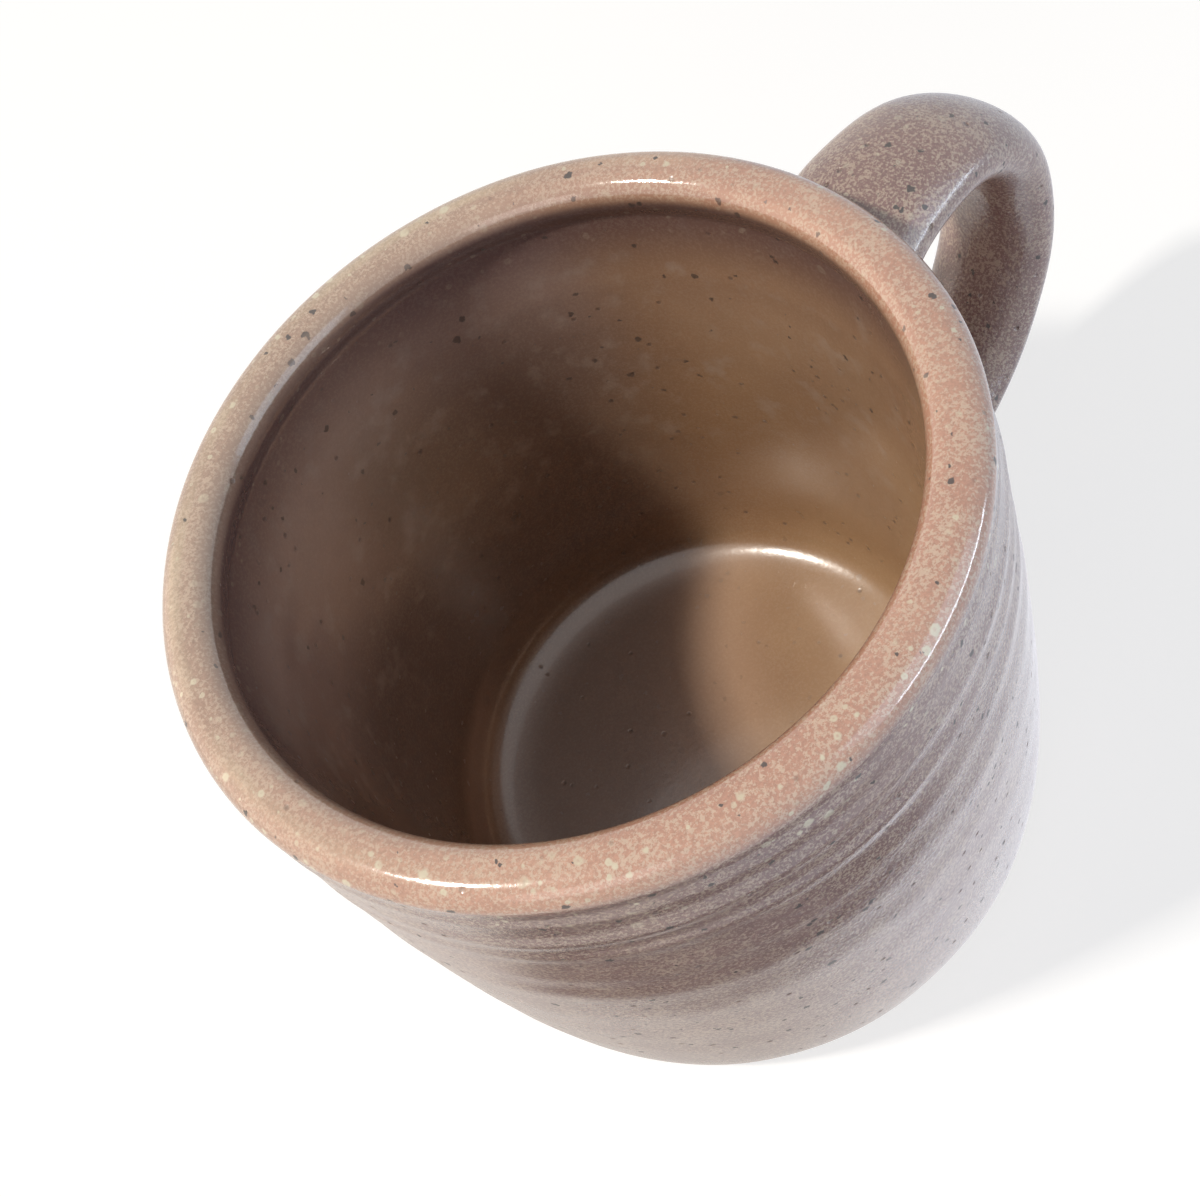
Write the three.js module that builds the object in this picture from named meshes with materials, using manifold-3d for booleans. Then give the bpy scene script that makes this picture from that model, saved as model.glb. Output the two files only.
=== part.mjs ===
// A hand-thrown stoneware mug: a thrown cup, a pulled strap handle, the two beds of
// slip that lute the handle on, and the coats of glaze poured inside and dipped outside.
// Millimetres, +Z up. The origin is the centre of the flat base, and the handle points along +X.
import * as THREE from "three";
import { mergeVertices } from "three/addons/utils/BufferGeometryUtils.js";
import Module from "manifold-3d";

// Finished sizes of the cup, over the glaze
const HEIGHT = 81;
const RIM_RADIUS = 46;
const RIM_INNER_RADIUS = 39.5;
const LIP_OUTER_ROUND = 2.8;
const LIP_INNER_ROUND = 1.8;
const COVE_RADIUS = 40.1;
const COVE_DEPTH = 6.5;
const BELLY_RADIUS = 46.3;
const BELLY_HEIGHT = 52;
const HEEL_RADIUS = 43;
const FOOT_RADIUS = 39;
const FLOOR_HEIGHT = 6.5;
const FLOOR_WALL_RADIUS = 36;
const FLOOR_FILLET = 5;

// Coats and clearances
const GLAZE_THICKNESS = 0.5;
const GLAZE_LINE = 4;
const SLIP_THICKNESS = 0.8;
const SEAT_GAP = 0.1;

// The pulled handle, along its middle line and across the strap
const UPPER_ROOT_DROP = 16.5;
const LOWER_ROOT_HEIGHT = 18.5;
const HANDLE_REACH = 30;
const SHOULDER_RISE = 3;
const ROOT_DEPTH = 5;
const STRAP_WIDTH = 17;
const STRAP_THICKNESS = 8.4;
const UPPER_ROOT_WIDTH = 23;
const UPPER_ROOT_THICKNESS = 12.5;
const LOWER_ROOT_WIDTH = 17;
const LOWER_ROOT_THICKNESS = 10.5;
const ROOT_FLARE_LENGTH = 15;
const STRAP_SQUARENESS = 2.5;

// Facets
const CUP_SEGMENTS = 48;
const CURVE_STEPS = 7;
const LIP_STEPS = 3;
const STRAP_RINGS = 26;
const STRAP_SIDES = 18;

const COAT = GLAZE_THICKNESS + SEAT_GAP;
const UPPER_ROOT_HEIGHT = HEIGHT - UPPER_ROOT_DROP;
const CREST_RADIUS = (RIM_RADIUS - LIP_OUTER_ROUND + RIM_INNER_RADIUS + LIP_INNER_ROUND) / 2;
const QUARTER = Math.PI / 2;

const wasm = await Module();
wasm.setup();

// Materials: bare fired clay, the slip of the joints, and the mauve glaze
const CLAY = { color: 0xb59a84, roughness: 0.85, metalness: 0 };
const SLIP = { color: 0xa88d78, roughness: 0.9, metalness: 0 };
const OUTER_GLAZE = { color: 0xa5877e, roughness: 0.28, metalness: 0 };
const LINER_GLAZE = { color: 0x9e7f63, roughness: 0.22, metalness: 0 };

// The finished outside, from the glaze line up the wall to the crest of the lip.
function outsideLine() {
  const line = new THREE.Path();
  const heelPull = (BELLY_HEIGHT - GLAZE_LINE) / 3;
  line.moveTo(HEEL_RADIUS, GLAZE_LINE);
  line.bezierCurveTo(
    BELLY_RADIUS - (BELLY_RADIUS - HEEL_RADIUS) / 4,
    GLAZE_LINE + heelPull / 2,
    BELLY_RADIUS,
    BELLY_HEIGHT - heelPull,
    BELLY_RADIUS,
    BELLY_HEIGHT,
  );
  const heel = line.getPoints(CURVE_STEPS);
  const lip = arc(RIM_RADIUS - LIP_OUTER_ROUND, HEIGHT - LIP_OUTER_ROUND, LIP_OUTER_ROUND, 0, QUARTER);
  return [...heel, ...lip, new THREE.Vector2(CREST_RADIUS + SEAT_GAP / 2, HEIGHT)];
}

// The finished inside, from the crest of the lip round its overhang into a shallow cove,
// then down the wall and over the floor to the axis.
function insideLine() {
  const lipBase = HEIGHT - LIP_INNER_ROUND;
  const coveHeight = HEIGHT - COVE_DEPTH;
  const lip = arc(RIM_INNER_RADIUS + LIP_INNER_ROUND, lipBase, LIP_INNER_ROUND, QUARTER, 2 * QUARTER);
  const roll = new THREE.Path();
  roll.moveTo(RIM_INNER_RADIUS, lipBase);
  roll.bezierCurveTo(
    RIM_INNER_RADIUS,
    (lipBase + coveHeight) / 2,
    COVE_RADIUS,
    (lipBase + coveHeight) / 2,
    COVE_RADIUS,
    coveHeight,
  );
  const cornerRadius = FLOOR_WALL_RADIUS - FLOOR_FILLET;
  const corner = arc(cornerRadius, FLOOR_HEIGHT + FLOOR_FILLET, FLOOR_FILLET, 0, -QUARTER);
  const crest = new THREE.Vector2(CREST_RADIUS - SEAT_GAP / 2, HEIGHT);
  const middle = new THREE.Vector2(0, FLOOR_HEIGHT);
  return [crest, ...lip, ...roll.getPoints(LIP_STEPS).slice(1), ...corner, middle];
}

// Points on a round corner of the profile.
function arc(x, y, radius, from, to) {
  const path = new THREE.Path();
  path.absarc(x, y, radius, from, to, to < from);
  return path.getPoints(LIP_STEPS);
}

// A profile moved by a distance to its left, seen along its run. Points on the axis stay on it.
function offset(points, distance) {
  return points.map((point, i) => {
    const before = points[Math.max(i - 1, 0)];
    const after = points[Math.min(i + 1, points.length - 1)];
    const along = after.clone().sub(before).normalize();
    const x = point.x === 0 ? 0 : point.x - along.y * distance;
    return new THREE.Vector2(x, point.y + along.x * distance);
  });
}

// A profile turned about the upright axis.
function turned(profile) {
  return new THREE.LatheGeometry(profile, CUP_SEGMENTS).rotateX(QUARTER);
}

// Geometry to a solid that can be cut, and back.
function solid(geometry) {
  const bare = geometry.clone();
  bare.deleteAttribute("normal");
  bare.deleteAttribute("uv");
  const merged = mergeVertices(bare);
  const mesh = new wasm.Mesh({
    numProp: 3,
    vertProperties: merged.getAttribute("position").array,
    triVerts: new Uint32Array(merged.index.array),
  });
  return new wasm.Manifold(mesh);
}

function geometryOf(cut) {
  const mesh = cut.getMesh();
  const geometry = new THREE.BufferGeometry();
  geometry.setAttribute("position", new THREE.BufferAttribute(mesh.vertProperties, 3));
  geometry.setIndex(new THREE.BufferAttribute(mesh.triVerts, 1));
  geometry.computeVertexNormals();
  return geometry;
}

// The clay under the coats: the outside and inside lines drawn in by one coat.
const clayOutside = offset(outsideLine(), COAT);
const clayInside = offset(insideLine(), COAT);

// Radius of the clay outside at a height on the wall.
function wallRadius(height) {
  const upper = clayOutside.findIndex((point) => point.y >= height);
  const low = clayOutside[upper - 1];
  const high = clayOutside[upper];
  return THREE.MathUtils.mapLinear(height, low.y, high.y, low.x, high.x);
}

// The full cup without its hollow, grown by a distance, to fit the handle's roots to its wall.
function wallBlank(grow) {
  const outside = offset(clayOutside, -grow);
  const base = new THREE.Vector2(0, outside[0].y);
  const crown = new THREE.Vector2(0, outside[outside.length - 1].y);
  return solid(turned([base, ...outside, crown]));
}

// Thrown cup: a flat base with a trimmed bevel up to the glaze line, then wall, lip, inside and floor.
function cupGeometry() {
  const foot = [new THREE.Vector2(0, 0), new THREE.Vector2(FOOT_RADIUS, 0)];
  return turned([...foot, ...clayOutside, ...clayInside]);
}

// A coat of glaze on a finished line, as thick as the glaze.
function coatGeometry(line) {
  const under = offset(line, GLAZE_THICKNESS);
  const closesOnAxis = line[line.length - 1].x === 0;
  const loop = [...under.slice().reverse(), ...line];
  return closesOnAxis ? turned(loop) : turned([...loop, loop[0].clone()]);
}

// The handle's middle line, from inside the upper wall round to inside the lower wall.
function handleLine() {
  const upper = wallRadius(UPPER_ROOT_HEIGHT);
  const lower = wallRadius(LOWER_ROOT_HEIGHT);
  const drop = UPPER_ROOT_HEIGHT - LOWER_ROOT_HEIGHT;
  const at = (x, z) => new THREE.Vector3(x, 0, z);
  return new THREE.CatmullRomCurve3([
    at(upper - ROOT_DEPTH, UPPER_ROOT_HEIGHT - SHOULDER_RISE / 2),
    at(upper + HANDLE_REACH * 0.32, UPPER_ROOT_HEIGHT + SHOULDER_RISE),
    at(upper + HANDLE_REACH * 0.82, UPPER_ROOT_HEIGHT - drop * 0.06),
    at(upper + HANDLE_REACH, UPPER_ROOT_HEIGHT - drop * 0.38),
    at(upper + HANDLE_REACH * 0.8, LOWER_ROOT_HEIGHT + drop * 0.28),
    at(lower + HANDLE_REACH * 0.34, LOWER_ROOT_HEIGHT + drop * 0.06),
    at(lower - ROOT_DEPTH, LOWER_ROOT_HEIGHT),
  ]);
}

// How far a strap's half size has swollen towards a root, at a distance along the line from it.
function flare(strap, root, distance) {
  const share = THREE.MathUtils.clamp(1 - (distance - ROOT_DEPTH) / ROOT_FLARE_LENGTH, 0, 1);
  return (strap + (root - strap) * share * share) / 2;
}

// The pulled strap, grown by a distance all round: rings of a rounded oblong along the middle line.
function strapBlank(grow) {
  const line = handleLine();
  const length = line.getLength();
  const vertices = [];
  for (let ring = 0; ring <= STRAP_RINGS; ring++) {
    const share = ring / STRAP_RINGS;
    const centre = line.getPointAt(share);
    const along = line.getTangentAt(share);
    const outward = new THREE.Vector3(along.z, 0, -along.x);
    const nearUpper = share < 0.5;
    const fromRoot = (nearUpper ? share : 1 - share) * length;
    const rootWidth = nearUpper ? UPPER_ROOT_WIDTH : LOWER_ROOT_WIDTH;
    const rootThickness = nearUpper ? UPPER_ROOT_THICKNESS : LOWER_ROOT_THICKNESS;
    const width = flare(STRAP_WIDTH, rootWidth, fromRoot);
    const thickness = flare(STRAP_THICKNESS, rootThickness, fromRoot);
    for (let side = 0; side < STRAP_SIDES; side++) {
      const angle = (2 * Math.PI * side) / STRAP_SIDES;
      const across = (width + grow) * rounded(Math.cos(angle));
      const through = (thickness + grow) * rounded(Math.sin(angle));
      vertices.push(centre.x + outward.x * through, across, centre.z + outward.z * through);
    }
  }
  return solid(skinned(vertices));
}

// The squared-off cosine or sine of a rounded oblong.
function rounded(value) {
  return Math.sign(value) * Math.abs(value) ** (2 / STRAP_SQUARENESS);
}

// A closed skin over the strap's rings, with a fan over each end.
function skinned(vertices) {
  const index = [];
  const last = STRAP_RINGS * STRAP_SIDES;
  for (let side = 0; side < STRAP_SIDES; side++) {
    const next = (side + 1) % STRAP_SIDES;
    for (let ring = 0; ring < STRAP_RINGS; ring++) {
      const here = ring * STRAP_SIDES;
      const there = here + STRAP_SIDES;
      index.push(here + side, there + side, here + next, here + next, there + side, there + next);
    }
    if (side > 0 && next > 0) {
      index.push(0, side, next, last, last + next, last + side);
    }
  }
  const geometry = new THREE.BufferGeometry();
  geometry.setAttribute("position", new THREE.Float32BufferAttribute(vertices, 3));
  geometry.setIndex(index);
  return geometry;
}

// Handle and slip: the strap is trimmed to the wall over a bed of slip at each root.
const strap = strapBlank(0);
const slipTop = SEAT_GAP + SLIP_THICKNESS;
const handle = strap.subtract(wallBlank(slipTop + SEAT_GAP));
const slipRing = wallBlank(slipTop).subtract(wallBlank(SEAT_GAP));
const slipBeds = strap.intersect(slipRing).decompose();
slipBeds.sort((a, b) => b.boundingBox().max[2] - a.boundingBox().max[2]);

// Glaze: the outer coat stops round the handle's own coat, which runs down to the clay at both roots.
const handleCoat = strapBlank(COAT).subtract(strapBlank(SEAT_GAP)).subtract(wallBlank(SEAT_GAP));
const outerCoat = solid(coatGeometry(outsideLine())).subtract(strapBlank(COAT + SEAT_GAP));

// A named sub-part with its own finish.
function piece(name, geometry, finish) {
  const mesh = new THREE.Mesh(geometry, new THREE.MeshStandardMaterial(finish));
  mesh.name = name;
  return mesh;
}

const mug = new THREE.Group();
mug.name = "stoneware_mug";
mug.add(
  piece("thrown_cup", cupGeometry(), CLAY),
  piece("pulled_handle", geometryOf(handle), CLAY),
  piece("upper_slip_joint", geometryOf(slipBeds[0]), SLIP),
  piece("lower_slip_joint", geometryOf(slipBeds[1]), SLIP),
  piece("liner_glaze", coatGeometry(insideLine()), LINER_GLAZE),
  piece("outer_glaze", geometryOf(outerCoat), OUTER_GLAZE),
  piece("handle_glaze", geometryOf(handleCoat), OUTER_GLAZE),
);

export default mug;
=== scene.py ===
import math

import bpy
from mathutils import Matrix, Vector, noise
from mathutils.geometry import interpolate_bezier


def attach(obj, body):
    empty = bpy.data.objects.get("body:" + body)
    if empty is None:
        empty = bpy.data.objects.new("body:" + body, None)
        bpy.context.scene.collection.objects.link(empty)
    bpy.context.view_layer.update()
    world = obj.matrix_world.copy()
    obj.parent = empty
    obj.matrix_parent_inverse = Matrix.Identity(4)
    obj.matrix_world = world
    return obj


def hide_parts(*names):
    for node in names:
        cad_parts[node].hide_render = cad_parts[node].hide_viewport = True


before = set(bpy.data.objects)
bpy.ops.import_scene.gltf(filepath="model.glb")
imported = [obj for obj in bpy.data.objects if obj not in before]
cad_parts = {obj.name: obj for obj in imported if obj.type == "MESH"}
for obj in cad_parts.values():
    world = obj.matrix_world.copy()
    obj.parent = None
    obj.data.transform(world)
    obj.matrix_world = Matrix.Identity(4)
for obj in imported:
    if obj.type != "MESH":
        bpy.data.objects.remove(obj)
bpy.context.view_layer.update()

# Thrown cup: one lump of speckled stoneware clay, opened and pulled up on the wheel, with a broad
# lip left thick for drinking. The foot is trimmed flat with a bevel and stays bare, so the
# clay shows there; everywhere above it lies under the glaze.
MM = 0.001
RIM_RADIUS = 46.0
RIM_INNER_RADIUS = 39.2
HEIGHT = 81.0
LIP_OUTER_ROUND = 2.8
LIP_INNER_ROUND = 2.7
LIP_OVERHANG = 2.2
COVE_RADIUS = 40.1
COVE_DEPTH = 6.5
COVE_EASE = 0.08
COVE_PULL = 1.2
BELLY_RADIUS = 46.3
BELLY_HEIGHT = 52.0
HEEL_RADIUS = 43.0
GLAZE_LINE = 4.0
FOOT_RADIUS = 39.0
FOOT_ROUND_OUT = 0.45
FOOT_ROUND_UP = 0.25
TRIM_RINGS = 40
TRIM_DEPTH = 0.12
FLOOR_HEIGHT = 6.5
FLOOR_WALL_RADIUS = 36.0
FLOOR_WALL_LEAN = 0.4
FLOOR_FILLET = 5.0
FLOOR_FLAT_RADIUS = 26.5
CORNER_RISE = 1.7 * FLOOR_FILLET
CORNER_PULL_DOWN = 0.4 * FLOOR_FILLET
CORNER_PULL_OUT = 0.36 * FLOOR_FILLET
COAT = 0.6
GLAZE_LAP = 0.4
CLAY_STEPS = 128
LEAST_STEP = 0.02
WELD = 0.005


def curve_points(start, pull_start, pull_end, end, count):
    corners = [Vector((x, 0.0, z)) for x, z in (start, pull_start, pull_end, end)]
    return [(p.x, p.z) for p in interpolate_bezier(*corners, count)]


def arc_points(x, z, radius, start, end, count):
    turns = [math.radians(start + (end - start) * i / (count - 1)) for i in range(count)]
    return [(x + radius * math.cos(a), z + radius * math.sin(a)) for a in turns]


def line_points(start, end, count):
    shares = [i / (count - 1) for i in range(count)]
    return [(start[0] + (end[0] - start[0]) * s, start[1] + (end[1] - start[1]) * s) for s in shares]


def joined(*runs):
    points = []
    for run in runs:
        points += [p for p in run if not points or math.dist(p, points[-1]) > LEAST_STEP]
    return points


def outside_line():
    belly = (BELLY_RADIUS, BELLY_HEIGHT)
    heel_pull = (BELLY_HEIGHT - GLAZE_LINE) / 3
    heel_lean = (BELLY_RADIUS - HEEL_RADIUS) / 4
    heel = curve_points(
        (HEEL_RADIUS, GLAZE_LINE),
        (BELLY_RADIUS - heel_lean, GLAZE_LINE + heel_pull / 2),
        (BELLY_RADIUS, BELLY_HEIGHT - heel_pull),
        belly,
        64,
    )
    wall = line_points(belly, (RIM_RADIUS, HEIGHT - LIP_OUTER_ROUND), 40)
    lip_middle = (RIM_RADIUS - LIP_OUTER_ROUND, HEIGHT - LIP_OUTER_ROUND)
    lip = arc_points(*lip_middle, LIP_OUTER_ROUND, 0, 90, 14)
    return joined(heel, wall, lip)


def inside_line():
    lip_middle = (RIM_INNER_RADIUS + LIP_INNER_ROUND, HEIGHT - LIP_INNER_ROUND)
    lip = arc_points(*lip_middle, LIP_INNER_ROUND, 90, 180, 10)
    cove = (COVE_RADIUS, HEIGHT - COVE_DEPTH)
    overhang = (RIM_INNER_RADIUS, cove[1] + LIP_OVERHANG)
    roll = curve_points(lip[-1], overhang, (COVE_RADIUS + COVE_EASE, cove[1] + COVE_PULL), cove, 16)
    wall = line_points(cove, (FLOOR_WALL_RADIUS + FLOOR_WALL_LEAN, FLOOR_HEIGHT + CORNER_RISE), 80)
    pull_down = (FLOOR_WALL_RADIUS, FLOOR_HEIGHT + CORNER_PULL_DOWN)
    pull_out = (FLOOR_WALL_RADIUS - CORNER_PULL_OUT, FLOOR_HEIGHT)
    corner = curve_points(wall[-1], pull_down, pull_out, (FLOOR_FLAT_RADIUS, FLOOR_HEIGHT), 30)
    floor = line_points(corner[-1], (0.0, FLOOR_HEIGHT), 20)
    return joined(lip, roll, wall, corner, floor)


def drawn_in(points, depth):
    moved = []
    for i, (x, z) in enumerate(points):
        before = points[max(i - 1, 0)]
        after = points[min(i + 1, len(points) - 1)]
        run = math.dist(before, after)
        along_x, along_z = (after[0] - before[0]) / run, (after[1] - before[1]) / run
        moved.append((0.0 if x == 0 else x - along_z * depth, z + along_x * depth))
    return moved


def turned(name, profile, steps):
    bpy.ops.object.select_all(action="DESELECT")
    bpy.ops.mesh.primitive_plane_add(size=MM)
    piece = bpy.context.object
    piece.name = piece.data.name = name
    bpy.ops.object.mode_set(mode="EDIT")
    bpy.ops.mesh.merge(type="CENTER")
    bpy.ops.transform.translate(value=(profile[0][0] * MM, 0, profile[0][1] * MM))
    for (x0, z0), (x1, z1) in zip(profile, profile[1:]):
        step = ((x1 - x0) * MM, 0, (z1 - z0) * MM)
        bpy.ops.mesh.extrude_region_move(TRANSFORM_OT_translate={"value": step})
    bpy.ops.mesh.select_all(action="SELECT")
    bpy.ops.mesh.spin(steps=steps, angle=2 * math.pi, center=(0, 0, 0), axis=(0, 0, 1))
    bpy.ops.mesh.select_all(action="SELECT")
    bpy.ops.mesh.remove_doubles(threshold=WELD * MM)
    bpy.ops.mesh.normals_make_consistent(inside=False)
    bpy.ops.object.mode_set(mode="OBJECT")
    bpy.ops.object.shade_smooth()
    return piece


base_rings = []
for ring in range(TRIM_RINGS):
    trimmed = ring % 2 and ring < TRIM_RINGS - 2
    base_rings.append((FOOT_RADIUS * ring / TRIM_RINGS, TRIM_DEPTH if trimmed else 0.0))
foot_round = (FOOT_RADIUS + FOOT_ROUND_OUT, FOOT_ROUND_UP)
foot_edge = [(FOOT_RADIUS, 0.0), foot_round, (HEEL_RADIUS - COAT, GLAZE_LINE - GLAZE_LAP)]
clay_outside = drawn_in(outside_line(), COAT)
clay_inside = drawn_in(inside_line(), COAT)
clay_line = joined(base_rings, foot_edge, clay_outside, clay_inside)
thrown_cup = turned("thrown_cup_clay", clay_line, CLAY_STEPS)
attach(thrown_cup, "root")
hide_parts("thrown_cup")

# Glaze on the cup: one glossy mauve coat, poured inside and dipped outside, meeting at the lip.
# It runs over the throwing ridges, thins and turns salmon where it breaks over the lip, and
# ends in a soft wavy bead above the foot. Its colour also carries painted light and shade: the
# lip is lighter and more salmon towards the right-hand softbox, and inside the cup painted
# shade and painted light follow the key lamp.
GLAZE_THICKNESS = 0.5
GLAZE_STEPS = 256
GLAZE_DRIP = 0.55
WALL_WOBBLE = 0.16
LIP_LIFT = 0.16
GROOVE_HEIGHT = 76.4
GROOVE_SPREAD = 0.9
GROOVE_DEPTH = 0.08
INSIDE_RIDGE_SHARE = 0.4
RIDGES = ((74.6, 0.9, 0.13), (69.4, 1.5, 0.32), (63.6, 1.4, 0.22), (57.0, 2.1, 0.16),
          (49.5, 2.8, 0.13), (41.0, 3.0, 0.1), (31.0, 3.2, 0.07), (21.0, 3.2, 0.05))


def eased(value, low, high):
    share = min(max((value - low) / (high - low), 0.0), 1.0)
    return share * share * (3 - 2 * share)


def throwing_ridges(around, z):
    rise = 0.0
    for i, (height, spread, depth) in enumerate(RIDGES):
        crest = height + 1.8 * noise.noise(around * 0.8 + Vector((3.7 * i, 1, 0)))
        fade = 0.65 + 1.0 * noise.noise(around * 1.3 + Vector((0, 5.3 * i, 2)))
        worn = 1 + 0.6 * noise.noise(around * 4.0 + Vector((0, 0, 0.12 * z + 9.1 * i)))
        rise += depth * worn * min(max(fade, 0.05), 1.0) * math.exp(-(((z - crest) / spread) ** 2))
    return rise


glaze_line_run = joined(outside_line(), inside_line())
under_run = drawn_in(glaze_line_run, GLAZE_THICKNESS)[::-1]
bead = arc_points(HEEL_RADIUS - GLAZE_THICKNESS / 2, GLAZE_LINE, GLAZE_THICKNESS / 2, -180, 0, 8)
cup_glaze = turned("cup_glaze", joined(under_run[::3], bead, glaze_line_run), GLAZE_STEPS)
for vertex in cup_glaze.data.vertices:
    x, y, z = vertex.co / MM
    radius = math.hypot(x, y)
    if radius < 1:
        continue
    angle = math.atan2(y, x)
    around = Vector((math.cos(angle), math.sin(angle), 0))
    wobble = WALL_WOBBLE * noise.noise(around * 1.1 + Vector((3, 0, z * 0.02)))
    if radius > 42.4 and z < 78.5:
        groove = -GROOVE_DEPTH * math.exp(-(((z - GROOVE_HEIGHT) / GROOVE_SPREAD) ** 2))
        move = throwing_ridges(around, z) + groove + wobble * eased(z, 4, 20)
    elif radius < 41.0 and z > 18:
        reach = eased(z, 18, 30) * (1 - eased(z, 60, 70))
        move = -INSIDE_RIDGE_SHARE * throwing_ridges(-around, z) * reach
    else:
        move = 0.0
    lift = LIP_LIFT * noise.noise(around * 1.3 + Vector((0, 5, 0))) * eased(z, 70, 80)
    near_foot = (1 - eased(z, 4, 12)) * (radius > 40)
    drip = GLAZE_DRIP * noise.noise(around * 3.2 + Vector((0, 0, 8))) * near_foot
    scale = (radius + move) / radius
    vertex.co = Vector((x * scale, y * scale, z + lift + drip)) * MM
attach(cup_glaze, "root")
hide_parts("liner_glaze", "outer_glaze")


def node_group(name, inputs, outputs):
    group = bpy.data.node_groups.new(name, "ShaderNodeTree")
    for label, kind, value in inputs:
        socket = group.interface.new_socket(label, in_out="INPUT", socket_type=kind)
        if value is not None:
            socket.default_value = value
    for label, kind in outputs:
        group.interface.new_socket(label, in_out="OUTPUT", socket_type=kind)
    return group, group.nodes.new("NodeGroupInput"), group.nodes.new("NodeGroupOutput")


def place(tree, kind, **settings):
    node = tree.nodes.new(kind)
    for key, value in settings.items():
        if key.startswith("in_"):
            label = key[3:].replace("_", " ")
            node.inputs[int(label) if label.isdigit() else label].default_value = value
        else:
            setattr(node, key, value)
    return node


def join(tree, *pairs):
    for start, end in pairs:
        tree.links.new(start, end)


def maths(tree, operation, first, second):
    node = place(tree, "ShaderNodeMath", operation=operation)
    for i, value in enumerate((first, second)):
        if isinstance(value, (int, float)):
            node.inputs[i].default_value = value
        else:
            tree.links.new(value, node.inputs[i])
    return node.outputs[0]


def between(tree, value, low, high, to_low=0.0, to_high=1.0):
    node = place(tree, "ShaderNodeMapRange", interpolation_type="SMOOTHSTEP")
    for label, part in (("Value", value), ("From Min", low), ("From Max", high)):
        if isinstance(part, (int, float)):
            node.inputs[label].default_value = part
        else:
            tree.links.new(part, node.inputs[label])
    node.inputs["To Min"].default_value = to_low
    node.inputs["To Max"].default_value = to_high
    return node.outputs["Result"]


def blended(tree, mask, first, second, mode="MIX"):
    node = place(tree, "ShaderNodeMix", data_type="RGBA", blend_type=mode)
    for label, part in (("Factor_Float", mask), ("A_Color", first), ("B_Color", second)):
        socket = next(s for s in node.inputs if s.identifier == label)
        if isinstance(part, (int, float)):
            socket.default_value = part
        elif isinstance(part, tuple):
            socket.default_value = (*part, 1.0)
        else:
            tree.links.new(part, socket)
    return next(s for s in node.outputs if s.identifier == "Result_Color")


def iron_speck_group():
    group, take, give = node_group(
        "iron_specks",
        [("Vector", "NodeSocketVector", None), ("Scale", "NodeSocketFloat", 260.0),
         ("Share", "NodeSocketFloat", 0.2), ("Size", "NodeSocketFloat", 0.16)],
        [("Mask", "NodeSocketFloat")],
    )
    ragged = place(group, "ShaderNodeTexNoise", in_Scale=1500.0, in_Detail=2.0)
    centred = place(group, "ShaderNodeVectorMath", operation="SUBTRACT", in_1=(0.5, 0.5, 0.5))
    shift = place(group, "ShaderNodeVectorMath", operation="SCALE", in_Scale=0.0009)
    moved = place(group, "ShaderNodeVectorMath", operation="ADD")
    cells = place(group, "ShaderNodeTexVoronoi", in_Randomness=1.0)
    drawn = place(group, "ShaderNodeSeparateColor")
    join(
        group,
        (take.outputs["Vector"], ragged.inputs["Vector"]),
        (ragged.outputs["Color"], centred.inputs[0]),
        (centred.outputs["Vector"], shift.inputs[0]),
        (take.outputs["Vector"], moved.inputs[0]),
        (shift.outputs["Vector"], moved.inputs[1]),
        (moved.outputs["Vector"], cells.inputs["Vector"]),
        (take.outputs["Scale"], cells.inputs["Scale"]),
        (cells.outputs["Color"], drawn.inputs["Color"]),
    )
    chosen = maths(group, "LESS_THAN", drawn.outputs["Red"], take.outputs["Share"])
    varied = maths(group, "MULTIPLY_ADD", drawn.outputs["Green"], 0.7)
    varied.node.inputs[2].default_value = 0.3
    size = maths(group, "MULTIPLY", varied, take.outputs["Size"])
    core = maths(group, "MULTIPLY", size, 0.8)
    spot = between(group, cells.outputs["Distance"], core, size, 1.0, 0.0)
    join(group, (maths(group, "MULTIPLY", spot, chosen), give.inputs["Mask"]))
    return group


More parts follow.
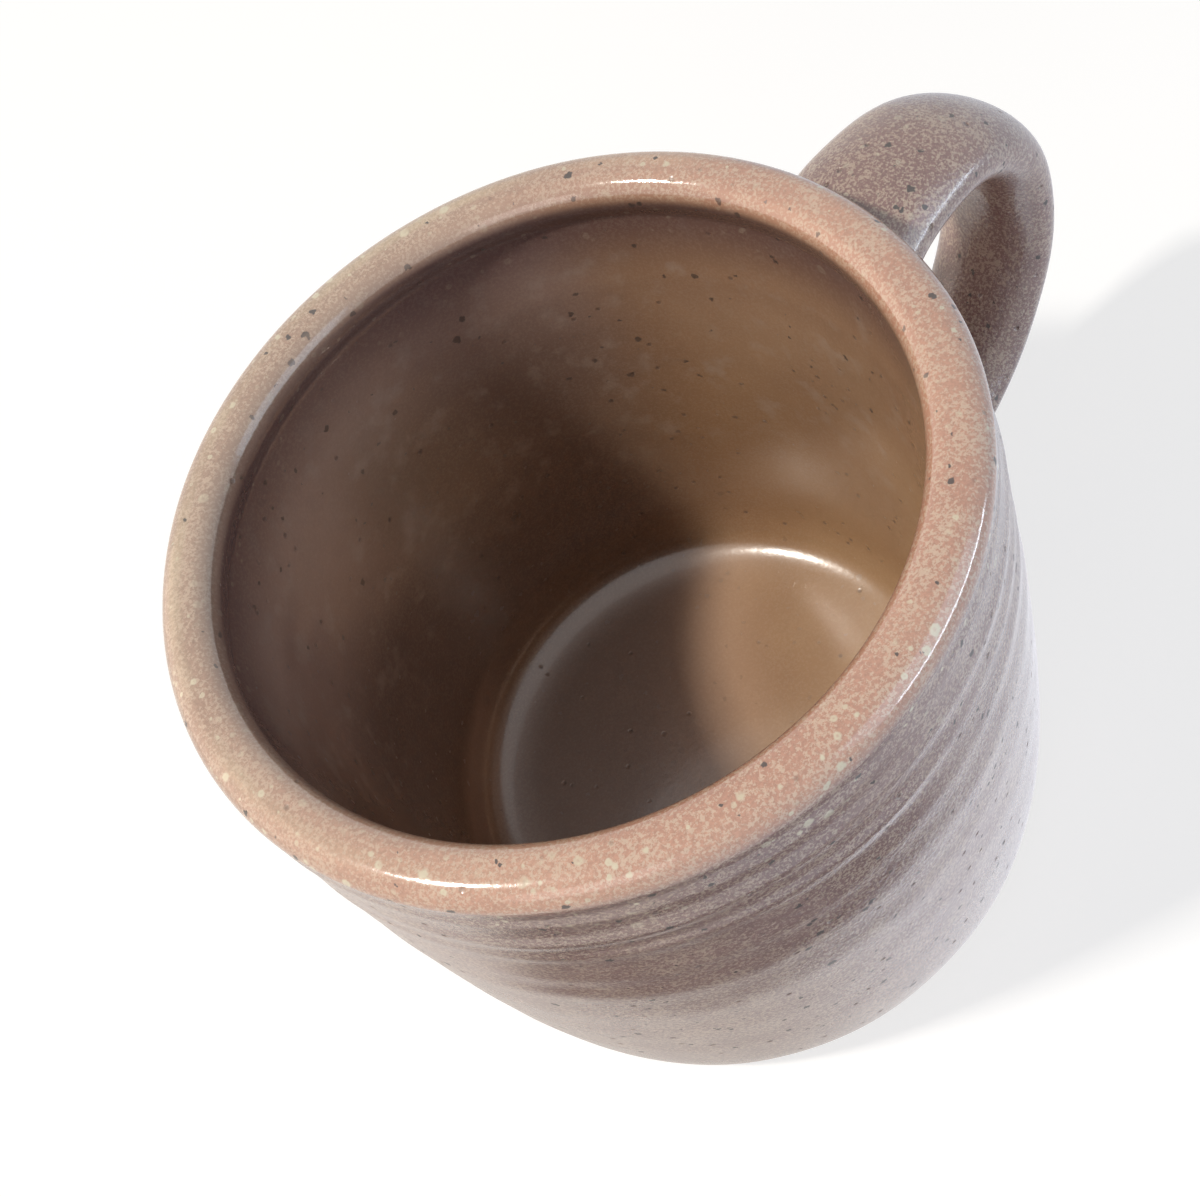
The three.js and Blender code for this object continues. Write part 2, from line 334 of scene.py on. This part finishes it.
def crystal_group():
    group, take, give = node_group(
        "glaze_crystals",
        [("Vector", "NodeSocketVector", None), ("Scale", "NodeSocketFloat", 2500.0)],
        [("Grain", "NodeSocketFloat"), ("Mottle", "NodeSocketFloat"), ("Bloom", "NodeSocketFloat")],
    )
    grain = place(group, "ShaderNodeTexNoise", in_Detail=3.0, in_Roughness=0.75)
    grain_drawn = place(group, "ShaderNodeSeparateColor")
    patch = place(group, "ShaderNodeTexNoise", in_Scale=210.0, in_Detail=3.0)
    ragged = place(group, "ShaderNodeTexNoise", in_Scale=1700.0, in_Detail=2.0)
    vector = take.outputs["Vector"]
    join(
        group,
        (vector, grain.inputs["Vector"]),
        (take.outputs["Scale"], grain.inputs["Scale"]),
        (grain.outputs["Color"], grain_drawn.inputs["Color"]),
        (vector, patch.inputs["Vector"]),
        (vector, ragged.inputs["Vector"]),
    )
    drift = maths(group, "MULTIPLY", maths(group, "SUBTRACT", patch.outputs["Fac"], 0.5), 1.6)
    crowd = maths(group, "MULTIPLY", drift, 0.13)
    reach = maths(group, "ADD", grain_drawn.outputs["Red"], crowd)
    torn = maths(group, "MULTIPLY", maths(group, "SUBTRACT", ragged.outputs["Fac"], 0.5), 0.22)

    def bloom_layer(scale, share):
        cells = place(group, "ShaderNodeTexVoronoi", in_Scale=scale)
        drawn = place(group, "ShaderNodeSeparateColor")
        join(group, (vector, cells.inputs["Vector"]), (cells.outputs["Color"], drawn.inputs["Color"]))
        edge = maths(group, "ADD", cells.outputs["Distance"], torn)
        size = maths(group, "MULTIPLY", drawn.outputs["Green"], 0.36)
        disc = between(group, edge, maths(group, "MULTIPLY", size, 0.6), size, 1.0, 0.0)
        heart = between(group, edge, 0.0, maths(group, "MULTIPLY", size, 0.45), 0.55, 1.0)
        luck = maths(group, "SUBTRACT", drawn.outputs["Red"], drift)
        chosen = between(group, luck, share - 0.4, share, 1.0, 0.0)
        return maths(group, "MULTIPLY", maths(group, "MULTIPLY", disc, heart), chosen)

    bloom = maths(group, "MAXIMUM", bloom_layer(430.0, 0.8), bloom_layer(760.0, 0.6))
    join(
        group,
        (between(group, reach, 0.48, 0.58), give.inputs["Grain"]),
        (grain_drawn.outputs["Green"], give.inputs["Mottle"]),
        (bloom, give.inputs["Bloom"]),
    )
    return group


def skin_group():
    group, take, give = node_group(
        "glaze_skin",
        [("Vector", "NodeSocketVector", None), ("Pits", "NodeSocketFloat", 0.5)],
        [("Height", "NodeSocketFloat"), ("Pit", "NodeSocketFloat")],
    )
    peel = place(group, "ShaderNodeTexNoise", in_Scale=1500.0, in_Detail=2.0, in_Roughness=0.55)
    swell = place(group, "ShaderNodeTexNoise", in_Scale=150.0, in_Detail=1.0)
    cells = place(group, "ShaderNodeTexVoronoi", in_Scale=420.0)
    drawn = place(group, "ShaderNodeSeparateColor")
    join(
        group,
        (take.outputs["Vector"], peel.inputs["Vector"]),
        (take.outputs["Vector"], swell.inputs["Vector"]),
        (take.outputs["Vector"], cells.inputs["Vector"]),
        (cells.outputs["Color"], drawn.inputs["Color"]),
    )
    share = maths(group, "MULTIPLY", take.outputs["Pits"], 0.4)
    chosen = maths(group, "LESS_THAN", drawn.outputs["Red"], share)
    hole = between(group, cells.outputs["Distance"], 0.05, 0.2, 1.0, 0.0)
    pit = maths(group, "MULTIPLY", hole, chosen)
    soft = maths(group, "ADD", maths(group, "MULTIPLY", peel.outputs["Fac"], 0.5), swell.outputs["Fac"])
    join(
        group,
        (maths(group, "SUBTRACT", soft, maths(group, "MULTIPLY", pit, 1.4)), give.inputs["Height"]),
        (pit, give.inputs["Pit"]),
    )
    return group


iron_specks = iron_speck_group()
glaze_crystals = crystal_group()
glaze_skin = skin_group()


def placed_group(tree, group, vector, **values):
    node = tree.nodes.new("ShaderNodeGroup")
    node.node_tree = group
    tree.links.new(vector, node.inputs["Vector"])
    for label, value in values.items():
        node.inputs[label].default_value = value
    return node


def new_finish(name):
    finish = bpy.data.materials.new(name)
    finish.use_nodes = True
    tree = finish.node_tree
    shader = tree.nodes["Principled BSDF"]
    spot = tree.nodes.new("ShaderNodeTexCoord").outputs["Object"]
    return finish, tree, shader, spot


def round_axis(tree, spot):
    axes = place(tree, "ShaderNodeSeparateXYZ")
    flat = place(tree, "ShaderNodeVectorMath", operation="MULTIPLY", in_1=(1.0, 1.0, 0.0))
    reach = place(tree, "ShaderNodeVectorMath", operation="LENGTH")
    join(tree, (spot, axes.inputs[0]), (spot, flat.inputs[0]), (flat.outputs[0], reach.inputs[0]))
    return axes, reach.outputs["Value"]


def toward(tree, spot, direction):
    node = place(tree, "ShaderNodeVectorMath", operation="DOT_PRODUCT", in_1=direction)
    join(tree, (spot, node.inputs[0]))
    return node.outputs["Value"]


def cup_glaze_finish():
    finish, tree, shader, spot = new_finish("mauve_cup_glaze")
    axes, radius = round_axis(tree, spot)
    height = axes.outputs["Z"]
    inside = between(tree, radius, 0.0402, 0.0412, 1.0, 0.0)
    rolled_in = between(tree, radius, 0.0395, 0.042, 0.0008, 0.0)
    lip = between(tree, maths(tree, "SUBTRACT", height, rolled_in), 0.0772, 0.0792)
    fine = placed_group(tree, iron_specks, spot, Scale=380.0, Share=0.8, Size=0.18)
    large = placed_group(tree, iron_specks, spot, Scale=190.0, Share=1.0, Size=0.12)
    crystals = placed_group(tree, glaze_crystals, spot, Scale=2500.0)
    skin = placed_group(tree, glaze_skin, spot, Pits=0.6)
    cloud = place(tree, "ShaderNodeTexNoise", in_Scale=45.0, in_Detail=3.0)
    join(tree, (spot, cloud.inputs["Vector"]))
    drift = between(tree, cloud.outputs["Fac"], 0.3, 0.7)
    wall = blended(tree, drift, (0.242, 0.138, 0.122), (0.295, 0.177, 0.162))
    # Liner tone: amber low down and mauve-grey higher up. The mauve-grey is also laid over the side
    # away from the key lamp as painted shade, and mostly kept off the lit side high up, so the amber
    # stands there as painted light.
    amber_liner = blended(tree, drift, (0.35, 0.205, 0.112), (0.415, 0.255, 0.14))
    mauve_grey_liner = blended(tree, drift, (0.4, 0.275, 0.23), (0.48, 0.345, 0.29))
    slant = toward(tree, spot, (0.66, -0.75, 0.0))
    painted_shade_side = between(tree, slant, -0.036, -0.02, 1.0, 0.0)
    upper_grey_less_where_lit = maths(tree, "MULTIPLY", between(tree, height, 0.03, 0.066),
                      between(tree, slant, -0.008, 0.006, 1.0, 0.25))
    grey_tone_and_painted_shade = maths(tree, "MAXIMUM", painted_shade_side, upper_grey_less_where_lit)
    liner_with_painted_light_and_shade = blended(tree, grey_tone_and_painted_shade, amber_liner, mauve_grey_liner)
    # Painted shade: on the side away from the key lamp, the inside wall is darkened from just above the
    # floor to about halfway up, and up to just under the lip at the far left.
    low_inner_painted_shade = maths(tree, "MULTIPLY", between(tree, height, 0.01, 0.016, 0.0, 0.88),
                     between(tree, height, 0.036, 0.058, 1.0, 0.0))
    high_inner_painted_shade = maths(tree, "MULTIPLY", between(tree, slant, -0.0385, -0.031, 0.0, 0.8),
                      between(tree, height, 0.05, 0.078, 1.0, 0.0))
    inner_painted_shade = maths(tree, "MULTIPLY", maths(tree, "MAXIMUM", low_inner_painted_shade, high_inner_painted_shade),
                   between(tree, slant, -0.012, 0.01, 1.0, 0.0))
    # The lip is lighter and more salmon on the side towards the right-hand softbox: partly the glaze's
    # own change in tone, partly painted light.
    salmon_lit_side = between(tree, toward(tree, spot, (0.35, -0.94, 0.0)), -0.04, 0.022)
    # Painted light: the floor's half away from the key lamp is painted much paler, standing in for
    # light bounced onto it.
    painted_floor_light = maths(tree, "MULTIPLY", between(tree, height, 0.0068, 0.0085, 0.95, 0.0),
                       between(tree, slant, -0.01, 0.012, 1.0, 0.0))
    liner_with_painted_floor_light = blended(tree, painted_floor_light, liner_with_painted_light_and_shade, (0.85, 0.55, 0.37))
    liner_with_inner_painted_shade = blended(tree, inner_painted_shade, liner_with_painted_floor_light, (0.16, 0.105, 0.085))
    haze = place(tree, "ShaderNodeTexNoise", in_Scale=240.0, in_Detail=6.0)
    join(tree, (spot, haze.inputs["Vector"]))
    wisps = maths(tree, "MULTIPLY", between(tree, haze.outputs["Fac"], 0.5, 0.75, 0.0, 0.34),
                  between(tree, height, 0.02, 0.045))
    hazed_liner = blended(tree, wisps, liner_with_inner_painted_shade, (0.52, 0.44, 0.38))
    # Painted shade: a dark purple band on the inside just below the lip's overhang, where the glaze
    # also runs thinner.
    painted_shade_under_lip = maths(tree, "MULTIPLY", between(tree, height, 0.0645, 0.0755),
                      between(tree, height, 0.0775, 0.0795, 0.8, 0.0))
    liner = blended(tree, painted_shade_under_lip, hazed_liner, (0.13, 0.075, 0.08))
    pale_rim = blended(tree, drift, (0.42, 0.275, 0.205), (0.48, 0.335, 0.255))
    salmon_rim = blended(tree, drift, (0.55, 0.29, 0.208), (0.635, 0.365, 0.26))
    # A cream band along the crest of the lip, broken up by the tone noise.
    crest = maths(tree, "ABSOLUTE", maths(tree, "SUBTRACT", radius, 0.0434), 0.0)
    cream_crest_band = maths(tree, "MULTIPLY", between(tree, crest, 0.0003, 0.0013, 0.7, 0.0), drift)
    creamed_rim = blended(tree, cream_crest_band, pale_rim, (0.66, 0.55, 0.38))
    rim = blended(tree, salmon_lit_side, creamed_rim, salmon_rim)
    ground = blended(tree, lip, blended(tree, inside, wall, liner), rim)
    mottle = between(tree, crystals.outputs["Mottle"], 0.3, 0.7, -0.14, 0.1)
    uneven = maths(tree, "MULTIPLY", mottle, between(tree, inside, 0.0, 1.0, 1.0, 0.15))
    tone = place(tree, "ShaderNodeVectorMath", operation="SCALE")
    join(tree, (ground, tone.inputs[0]), (maths(tree, "ADD", uneven, 1.0), tone.inputs["Scale"]))
    smooth_inside = between(tree, inside, 0.0, 1.0, 0.47, 0.06)
    rim_grain = maths(tree, "MULTIPLY", lip, between(tree, salmon_lit_side, 0.0, 1.0, 0.32, 0.62))
    grain_share = maths(tree, "MAXIMUM", smooth_inside, rim_grain)
    grain = maths(tree, "MULTIPLY", crystals.outputs["Grain"], grain_share)
    grained = blended(tree, grain, tone.outputs[0], (0.76, 0.62, 0.48))
    high_bloom = between(tree, height, 0.068, 0.0775, 0.1, 0.85)
    outer_bloom = between(tree, radius, 0.04, 0.0435, 0.2, 1.0)
    bloom_share = maths(tree, "MULTIPLY", high_bloom, outer_bloom)
    bloom = maths(tree, "MULTIPLY", crystals.outputs["Bloom"], bloom_share)
    bloomed = blended(tree, bloom, grained, (0.76, 0.7, 0.53))
    # Painted shade: the pits in the glaze are darkened in colour.
    painted_pit_shade = maths(tree, "MULTIPLY", skin.outputs["Pit"], 0.55)
    with_painted_pit_shade = blended(tree, painted_pit_shade, bloomed, (0.1, 0.07, 0.06))
    specks = maths(tree, "MAXIMUM", fine.outputs["Mask"], large.outputs["Mask"])
    deep = maths(tree, "MULTIPLY", inside, between(tree, height, 0.01, 0.06, 0.8, 0.25))
    iron = maths(tree, "MULTIPLY", specks, maths(tree, "SUBTRACT", 1.0, deep))
    ironed = blended(tree, maths(tree, "MULTIPLY", iron, 0.92), with_painted_pit_shade, (0.04, 0.034, 0.032))
    join(tree, (ironed, shader.inputs["Base Color"]))
    sleek = maths(tree, "MULTIPLY", lip, 0.11)
    satin = maths(tree, "SUBTRACT", between(tree, inside, 0.0, 1.0, 0.24, 0.2), sleek)
    worn = maths(tree, "MULTIPLY", drift, between(tree, lip, 0.0, 1.0, 0.06, 0.02))
    dulled = maths(tree, "MULTIPLY", maths(tree, "MAXIMUM", iron, skin.outputs["Pit"]), 0.25)
    gloss = maths(tree, "ADD", maths(tree, "ADD", satin, worn), dulled)
    join(tree, (gloss, shader.inputs["Roughness"]))
    shader.inputs["IOR"].default_value = 1.7
    join(tree, (between(tree, skin.outputs["Pit"], 0.0, 1.0, 0.42, 0.0), shader.inputs["Coat Weight"]))
    shader.inputs["Coat Roughness"].default_value = 0.09
    relief = between(tree, maths(tree, "MAXIMUM", lip, inside), 0.0, 1.0, 1.0, 0.19)
    level = maths(tree, "SUBTRACT", skin.outputs["Height"], 0.75)
    bump = place(tree, "ShaderNodeBump", in_Strength=1.0, in_Distance=0.0002)
    join(tree, (maths(tree, "MULTIPLY", level, relief), bump.inputs["Height"]))
    join(tree, (bump.outputs[0], shader.inputs["Normal"]))
    return finish


cup_glaze.data.materials.append(cup_glaze_finish())

# Pulled handle: a strap of the same clay, drawn out by hand, bent to a loop and luted to the wall.
# Its roots spread over the wall.
UPPER_ROOT = 64.5
LOWER_ROOT = 18.5
HANDLE_REACH = 30.0
ROOT_DEPTH = 5.0
STRAP_SIDES = 48
ROOT_WIDTH = 10.6
ROOT_THICKNESS = 5.4
WAIST_NARROWS = 2.1
WAIST_THINS = 1.2
TAIL_NARROWS = 1.6
TAIL_THINS = 0.5
ROOT_ZONE = 16.0
ROOT_STEP = 0.5
LOOP_STEP = 1.2
ROOT_FILLET = 4.0
ROOT_HOLD = 2.5


def wall_radius(height):
    line = outside_line()
    for (r0, z0), (r1, z1) in zip(line, line[1:]):
        if z0 <= height <= z1:
            return r0 + (r1 - r0) * (height - z0) / max(z1 - z0, 1e-6)
    return RIM_RADIUS


def strap_path():
    upper = wall_radius(UPPER_ROOT) - COAT
    lower = wall_radius(LOWER_ROOT) - COAT
    drop = UPPER_ROOT - LOWER_ROOT
    stops = [
        (upper - ROOT_DEPTH, UPPER_ROOT - 1.5),
        (upper + HANDLE_REACH * 0.32, UPPER_ROOT + 3),
        (upper + HANDLE_REACH * 0.82, UPPER_ROOT - drop * 0.06),
        (upper + HANDLE_REACH, UPPER_ROOT - drop * 0.38),
        (upper + HANDLE_REACH * 0.8, LOWER_ROOT + drop * 0.28),
        (lower + HANDLE_REACH * 0.34, LOWER_ROOT + drop * 0.06),
        (lower - ROOT_DEPTH, LOWER_ROOT),
    ]
    path = bpy.data.curves.new("strap_path", "CURVE")
    path.dimensions = "3D"
    path.resolution_u = 24
    spline = path.splines.new("BEZIER")
    spline.bezier_points.add(len(stops) - 1)
    for knot, (x, z) in zip(spline.bezier_points, stops):
        knot.co = (x * MM, 0, z * MM)
        knot.handle_left_type = knot.handle_right_type = "AUTO"
    guide = bpy.data.objects.new("strap_path", path)
    bpy.context.collection.objects.link(guide)
    return guide, spline.calc_length() / MM


def strap_size(share, grow):
    waist = math.sin(math.pi * share) ** 0.6
    width = ROOT_WIDTH - WAIST_NARROWS * waist - TAIL_NARROWS * share
    thickness = ROOT_THICKNESS - WAIST_THINS * waist - TAIL_THINS * share
    return width + grow, thickness + grow


def pulled_strap(name, grow):
    guide, length = strap_path()
    bpy.ops.object.select_all(action="DESELECT")
    bpy.ops.mesh.primitive_circle_add(vertices=STRAP_SIDES, radius=MM, rotation=(0, math.pi / 2, 0))
    strap = bpy.context.object
    strap.name = strap.data.name = name
    bpy.ops.object.transform_apply(rotation=True)
    bpy.ops.object.mode_set(mode="EDIT")
    width, thickness = strap_size(0, grow)
    bpy.ops.transform.resize(value=(1, width, thickness), center_override=(0, 0, 0))
    place_along = 0.0
    while place_along < length - 0.3:
        near_root = min(place_along, length - place_along) < ROOT_ZONE
        step = min(ROOT_STEP if near_root else LOOP_STEP, length - place_along)
        place_along += step
        new_width, new_thickness = strap_size(place_along / length, grow)
        bpy.ops.mesh.extrude_region_move(TRANSFORM_OT_translate={"value": (step * MM, 0, 0)})
        ratio = (1, new_width / width, new_thickness / thickness)
        bpy.ops.transform.resize(value=ratio, center_override=(place_along * MM, 0, 0))
        width, thickness = new_width, new_thickness
    bpy.ops.mesh.select_all(action="SELECT")
    bpy.ops.mesh.fill_holes(sides=0)
    bpy.ops.mesh.normals_make_consistent(inside=False)
    bpy.ops.object.mode_set(mode="OBJECT")
    bend = strap.modifiers.new("bend", "CURVE")
    bend.object = guide
    bend.deform_axis = "POS_X"
    bpy.ops.object.modifier_apply(modifier="bend")
    bpy.data.objects.remove(guide)
    bpy.ops.object.shade_smooth()
    return strap


def spread_roots(strap):
    normals = [vertex.normal.copy() for vertex in strap.data.vertices]
    for vertex, normal in zip(strap.data.vertices, normals):
        spot = vertex.co / MM
        gap = math.hypot(spot.x, spot.y) - wall_radius(spot.z)
        if gap > ROOT_FILLET:
            continue
        inner = ROOT_FILLET - max(gap, 0.0)
        if gap > -ROOT_HOLD:
            spot += normal * (ROOT_FILLET - math.sqrt(ROOT_FILLET**2 - inner**2))
        keep = (wall_radius(spot.z) + max(gap, -ROOT_HOLD) - 0.25) / math.hypot(spot.x, spot.y)
        vertex.co = Vector((spot.x * keep, spot.y * keep, spot.z)) * MM


def held_roots(strap):
    for vertex in strap.data.vertices:
        spot = vertex.co / MM
        least = wall_radius(spot.z) - ROOT_HOLD
        radius = math.hypot(spot.x, spot.y)
        if radius < least:
            vertex.co = Vector((spot.x * least / radius, spot.y * least / radius, spot.z)) * MM


pulled_handle = pulled_strap("pulled_handle_clay", 0.0)
held_roots(pulled_handle)
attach(pulled_handle, "root")
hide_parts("pulled_handle")

# Glaze on the handle: the same dip as the outside of the cup, fired to the strap all round. It
# gathers in the corners at both roots, where it fills the seam in a soft fillet and feathers out
# onto the wall.
handle_glaze = pulled_strap("handle_glaze_coat", COAT)
spread_roots(handle_glaze)
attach(handle_glaze, "root")
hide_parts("handle_glaze")
handle_glaze.data.materials.append(bpy.data.materials["mauve_cup_glaze"])

# Bare clay and slip: fired stoneware shows at the foot, and the slip beds lie hidden under the
# handle's roots. Both are the same body, fired hard and left unglazed, with iron grit in it.


def clay_finish(name, low, high):
    finish, tree, shader, spot = new_finish(name)
    specks = placed_group(tree, iron_specks, spot, Scale=380.0, Share=0.3, Size=0.14)
    grit = place(tree, "ShaderNodeTexNoise", in_Scale=1400.0, in_Detail=4.0)
    join(tree, (spot, grit.inputs["Vector"]))
    ground = blended(tree, between(tree, grit.outputs["Fac"], 0.3, 0.7), low, high)
    specked = blended(tree, specks.outputs["Mask"], ground, (0.06, 0.045, 0.035))
    join(tree, (specked, shader.inputs["Base Color"]))
    join(tree, (between(tree, grit.outputs["Fac"], 0.3, 0.7, 0.75, 0.95), shader.inputs["Roughness"]))
    bump = place(tree, "ShaderNodeBump", in_Strength=0.4, in_Distance=0.00015)
    join(tree, (grit.outputs["Fac"], bump.inputs["Height"]), (bump.outputs[0], shader.inputs["Normal"]))
    return finish


bare_clay = clay_finish("bare_stoneware", (0.38, 0.26, 0.18), (0.5, 0.36, 0.26))
thrown_cup.data.materials.append(bare_clay)
pulled_handle.data.materials.append(bare_clay)
fired_slip = clay_finish("fired_slip", (0.33, 0.22, 0.15), (0.42, 0.29, 0.2))
for joint in ("upper_slip_joint", "lower_slip_joint"):
    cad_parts[joint].data.materials.clear()
    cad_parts[joint].data.materials.append(fired_slip)

# Studio: a pale paper floor under a white sky, with a small window-like key lamp from the upper left
# of the picture, soft fills round the mug and a low strip at the right. A dark card stands like a
# collar below the near wall and shows only in its gloss, as a room's dark side does.
bpy.ops.object.select_all(action="DESELECT")
bpy.ops.mesh.primitive_plane_add(size=4.0, location=(0, 0, -0.0002))
floor = bpy.context.object
floor.name = "floor"


def seen_directly(tree):
    path = place(tree, "ShaderNodeLightPath")
    glossy = maths(tree, "MAXIMUM", path.outputs["Is Camera Ray"], path.outputs["Is Glossy Ray"])
    return maths(tree, "MAXIMUM", glossy, path.outputs["Is Transmission Ray"])


def cleared_finish(name):
    finish = bpy.data.materials.new(name)
    finish.use_nodes = True
    tree = finish.node_tree
    tree.nodes.clear()
    return finish, tree, place(tree, "ShaderNodeOutputMaterial")


def floor_finish():
    finish, tree, out = cleared_finish("pale_floor")
    matt = place(tree, "ShaderNodeBsdfDiffuse")
    glow = place(tree, "ShaderNodeEmission", in_Color=(1.0, 1.0, 1.0, 1.0))
    both = place(tree, "ShaderNodeAddShader")
    direct = seen_directly(tree)
    spot = place(tree, "ShaderNodeTexCoord").outputs["Object"]
    from_mug = place(tree, "ShaderNodeVectorMath", operation="LENGTH")
    join(tree, (spot, from_mug.inputs[0]))
    away = from_mug.outputs["Value"]
    lift = maths(tree, "MULTIPLY", direct, between(tree, away, 0.15, 0.5, 0.7, 1.0))
    shade = maths(tree, "MULTIPLY", direct, between(tree, away, 0.15, 0.5, 0.4, 0.8))
    paper = maths(tree, "SUBTRACT", 0.8, shade)
    mirrored = place(tree, "ShaderNodeEmission")
    # What the floor shows in gloss is painted: darker close to the foot as a painted shadow, and cooler
    # and brighter on the right near the foot as painted light; warmer on the left.
    cool_side = between(tree, toward(tree, spot, (0.66, -0.75, 0.0)), 0.0, 0.045)
    mirror_strength_painted_shadow = between(tree, away, 0.046, 0.075, 0.84, 1.0)
    near_foot = between(tree, away, 0.056, 0.066, 0.36, -0.12)
    painted_cool_light = maths(tree, "MULTIPLY", cool_side, near_foot)
    path = place(tree, "ShaderNodeLightPath")
    chosen = place(tree, "ShaderNodeMixShader")
    join(
        tree,
        (lift, glow.inputs["Strength"]),
        (maths(tree, "ADD", mirror_strength_painted_shadow, painted_cool_light), mirrored.inputs["Strength"]),
        (paper, matt.inputs["Color"]),
        (blended(tree, cool_side, (1.0, 0.94, 0.88), (0.95, 0.98, 1.06)), mirrored.inputs["Color"]),
        (matt.outputs[0], both.inputs[0]),
        (glow.outputs[0], both.inputs[1]),
        (path.outputs["Is Glossy Ray"], chosen.inputs["Fac"]),
        (both.outputs[0], chosen.inputs[1]),
        (mirrored.outputs[0], chosen.inputs[2]),
        (chosen.outputs[0], out.inputs["Surface"]),
    )
    return finish


floor.data.materials.append(floor_finish())
CARD_TURN = 2.25
CARD_INNER_EDGE = (48.0, 32.8)
CARD_OUTER_EDGE = (80.0, 14.4)
CARD_STEPS = 96


def dark_card_finish():
    finish, tree, out = cleared_finish("dark_card")
    faced = place(tree, "ShaderNodeVectorRotate", rotation_type="Z_AXIS", in_Angle=CARD_TURN)
    join(tree, (place(tree, "ShaderNodeTexCoord").outputs["Object"], faced.inputs["Vector"]))
    axes, radius = round_axis(tree, faced.outputs["Vector"])
    around = maths(tree, "ARCTAN2", axes.outputs["Y"], axes.outputs["X"])
    bow = maths(tree, "MULTIPLY", maths(tree, "MULTIPLY", around, around), 0.0095)
    edge = maths(tree, "SUBTRACT", radius, bow)
    near_side = between(tree, edge, 0.0485, 0.054)
    far_side = between(tree, radius, 0.0705, 0.0775, 1.0, 0.0)
    left_end = between(tree, around, -0.86, -0.5)
    right_end = between(tree, around, 0.55, 1.25, 1.0, 0.0)
    length = maths(tree, "MULTIPLY", left_end, right_end)
    breadth = maths(tree, "MULTIPLY", near_side, far_side)
    under = place(tree, "ShaderNodeNewGeometry").outputs["Backfacing"]
    upper_face = maths(tree, "SUBTRACT", 1.0, under)
    spread = maths(tree, "MULTIPLY", maths(tree, "MULTIPLY", length, breadth), upper_face)
    dark = place(tree, "ShaderNodeEmission", in_Color=(0.05, 0.04, 0.04, 1.0))
    clear = place(tree, "ShaderNodeBsdfTransparent")
    chosen = place(tree, "ShaderNodeMixShader")
    join(
        tree,
        (spread, chosen.inputs["Fac"]),
        (clear.outputs[0], chosen.inputs[1]),
        (dark.outputs[0], chosen.inputs[2]),
        (chosen.outputs[0], out.inputs["Surface"]),
    )
    return finish


dark_card = turned("dark_card", [CARD_INNER_EDGE, CARD_OUTER_EDGE], CARD_STEPS)
dark_card.visible_camera = False
dark_card.visible_diffuse = False
dark_card.visible_transmission = False
dark_card.visible_shadow = False
dark_card.data.materials.append(dark_card_finish())
SKY_FILL = 0.12
LAMP_AIM = Vector((0, 0, 0.05))
sky = bpy.data.worlds.new("soft_sky")
bpy.context.scene.world = sky
sky.use_nodes = True
backdrop = sky.node_tree.nodes["Background"]
backdrop.inputs["Color"].default_value = (1.0, 1.0, 1.0, 1.0)
sky_level = maths(sky.node_tree, "MULTIPLY_ADD", seen_directly(sky.node_tree), 1.0 - SKY_FILL)
sky_level.node.inputs[2].default_value = SKY_FILL
join(sky.node_tree, (sky_level, backdrop.inputs["Strength"]))


def lamp(name, direction, distance, size, power, colour, tall=None):
    stand = Vector(direction).normalized() * distance + LAMP_AIM
    bpy.ops.object.light_add(type="AREA", location=stand)
    light = bpy.context.object
    light.name = name
    light.rotation_euler = Vector(direction).to_track_quat("Z", "Y").to_euler()
    light.data.shape = "RECTANGLE"
    light.data.size = size
    light.data.size_y = size if tall is None else tall
    light.data.energy = power
    light.visible_camera = False
    light.data.color = colour


lamp("window_key", (-0.47, 0.21, 0.857), 0.9, 0.075, 5.8, (1.0, 0.95, 0.86))
lamp("right_softbox", (0.42, -0.86, 0.33), 0.6, 0.5, 1.0, (0.64, 0.8, 1.0))
lamp("low_strip", (0.545, -0.838, 0.0), 0.4, 0.3, 0.32, (0.75, 0.88, 1.0), 0.03)
lamp("left_fill", (-0.6, 0.7, 0.4), 0.6, 0.6, 0.8, (1.0, 0.72, 0.52))
lamp("front_fill", (-0.8, -0.5, 0.5), 0.6, 0.3, 0.35, (1.0, 0.85, 0.8))

# Camera: it looks down into the cup from above the near lip, as the photograph does, and is rolled
# so that the handle points up and away. Lens and place were solved from the outlines of the lip,
# the floor and the wall.
lens = bpy.data.cameras.new("camera")
lens.lens = 48.0
lens.sensor_width = 36.0
lens.clip_start = 0.01
camera = bpy.data.objects.new("camera", lens)
bpy.context.collection.objects.link(camera)
right = Vector((0.6244, -0.7166, -0.311))
back = Vector((-0.1916, -0.5265, 0.8283))
up = back.cross(right)
turn = Matrix((right, up, back)).transposed().to_4x4()
viewpoint = Vector((-0.0377, -0.0979, 0.2116))
camera.matrix_world = Matrix.Translation(viewpoint) @ turn
bpy.context.scene.camera = camera

bpy.context.scene.view_settings.view_transform = "Standard"
